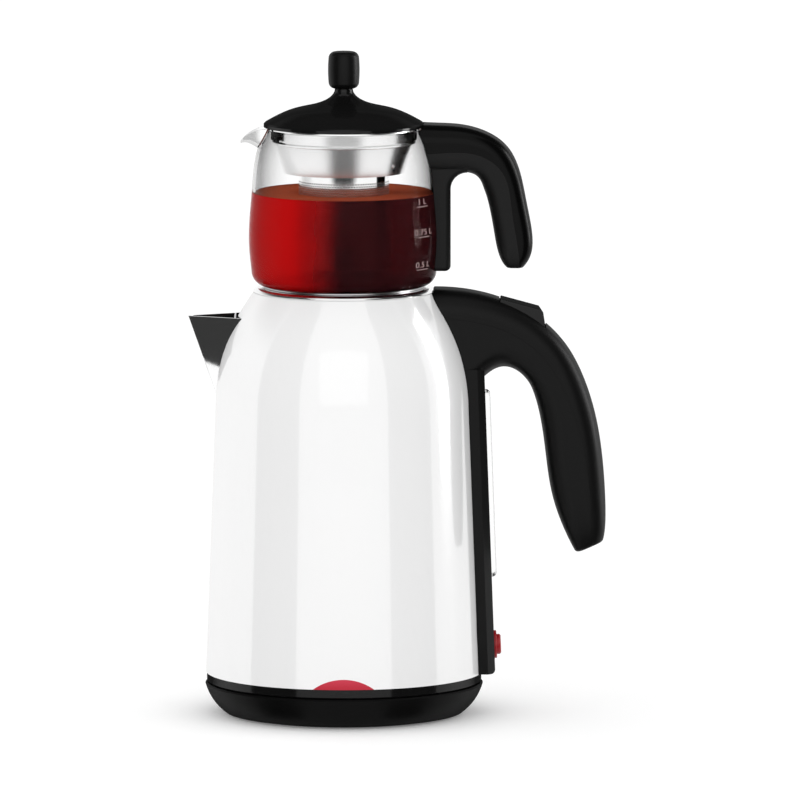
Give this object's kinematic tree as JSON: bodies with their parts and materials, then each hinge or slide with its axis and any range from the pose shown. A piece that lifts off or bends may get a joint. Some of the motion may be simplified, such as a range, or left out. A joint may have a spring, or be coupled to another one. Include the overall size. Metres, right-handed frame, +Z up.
{
  "type": "automatic tea maker",
  "caption": "Cordless white kettle on a power base, with a steam-warmed glass teapot, lift-out infuser and black handles.",
  "frame": {"origin": "centre of the power base on the surface it stands on, on the kettle's and teapot's common axis", "axes": "+Z up along the kettle's axis, +X towards both handles, -X towards the spout, -Y towards the front light window"},
  "size_m": [0.268, 0.178, 0.4255],
  "materials": {
    "matte_black": "fine matte moulded plastic",
    "satin_black": "satin moulded plastic",
    "gloss_black": "high gloss",
    "gloss_white": "high gloss",
    "polished_steel": "polished stainless steel",
    "steel": "plain stainless steel",
    "aluminium": "cast",
    "brass": "plain",
    "rubber": "soft",
    "silicone": "soft, milky",
    "lamp_board": "plain",
    "clear_plastic": "clear moulded plastic",
    "red_lens": "translucent gloss",
    "red_plastic": "gloss",
    "glass": "clear borosilicate glass"
  },
  "bodies": {
    "power_base": {"base_cover": "matte_black", "base_floor": "matte_black", "anti_slip_ring": "rubber", "base_screws": "steel", "base_hub": "matte_black", "base_contacts": "brass", "cord_gland": "rubber"},
    "kettle": {"foot_band": "gloss_black", "kettle_bottom": "matte_black", "bottom_screws": "steel", "kettle_socket": "matte_black", "socket_contacts": "brass", "boil_dry_control": "matte_black", "heating_plate": "aluminium", "heating_element": "steel", "outer_shell": "gloss_white", "window_lens": "red_lens", "indicator_lamp": "lamp_board", "inner_pot": "steel", "pot_seal": "silicone", "mouth_ring": "polished_steel", "spout": "polished_steel", "spout_filter": "steel", "back_plate": "satin_black", "back_screws": "steel", "gauge_window": "clear_plastic", "gauge_tubes": "silicone", "button_bezel": "red_plastic", "button_spring": "steel", "light_switch": "matte_black", "switch_pin": "steel", "handle_shell": "satin_black", "handle_grip": "satin_black", "boil_switch": "lamp_board", "steam_tube": "silicone"},
    "boil_paddle": {"switch_paddle": "gloss_black"},
    "light_button": {"push_button": "red_plastic"},
    "steam_cover": {"steam_lid": "steel", "steam_lid_grip": "matte_black"},
    "teapot": {"glass_jug": "glass", "teapot_handle_shell": "satin_black", "teapot_handle_grip": "satin_black"},
    "infuser": {"infuser_cup": "polished_steel", "infuser_sieve": "polished_steel"},
    "teapot_lid": {"lid_dome": "gloss_black", "knob_collar": "gloss_black", "lid_knob": "satin_black", "knob_screw": "steel"}
  },
  "joints": [
    {"name": "kettle_lift", "type": "slide", "parent": "power_base", "child": "kettle", "axis": [0, 0, 1], "range_m": [0, 0.06]},
    {"name": "boil_switch_turn", "type": "hinge", "parent": "kettle", "child": "boil_paddle", "pos_m": [0.107, 0, 0.256], "axis": [0, 1, 0], "range_deg": [0, 8]},
    {"name": "light_button_press", "type": "slide", "parent": "kettle", "child": "light_button", "axis": [-0.9993, 0, -0.0366], "range_m": [0, 0.0025], "stiffness_N_per_m": 300, "deforming": ["button_spring"]},
    {"name": "steam_lid_lift", "type": "slide", "parent": "kettle", "child": "steam_cover", "axis": [0, 0, 1], "range_m": [0, 0.05]},
    {"name": "teapot_lift", "type": "slide", "parent": "steam_cover", "child": "teapot", "axis": [0, 0, 1], "range_m": [0, 0.12]},
    {"name": "infuser_lift", "type": "slide", "parent": "teapot", "child": "infuser", "axis": [0, 0, 1], "range_m": [0, 0.11]},
    {"name": "teapot_lid_lift", "type": "slide", "parent": "infuser", "child": "teapot_lid", "axis": [0, 0, 1], "range_m": [0, 0.06]}
  ]
}
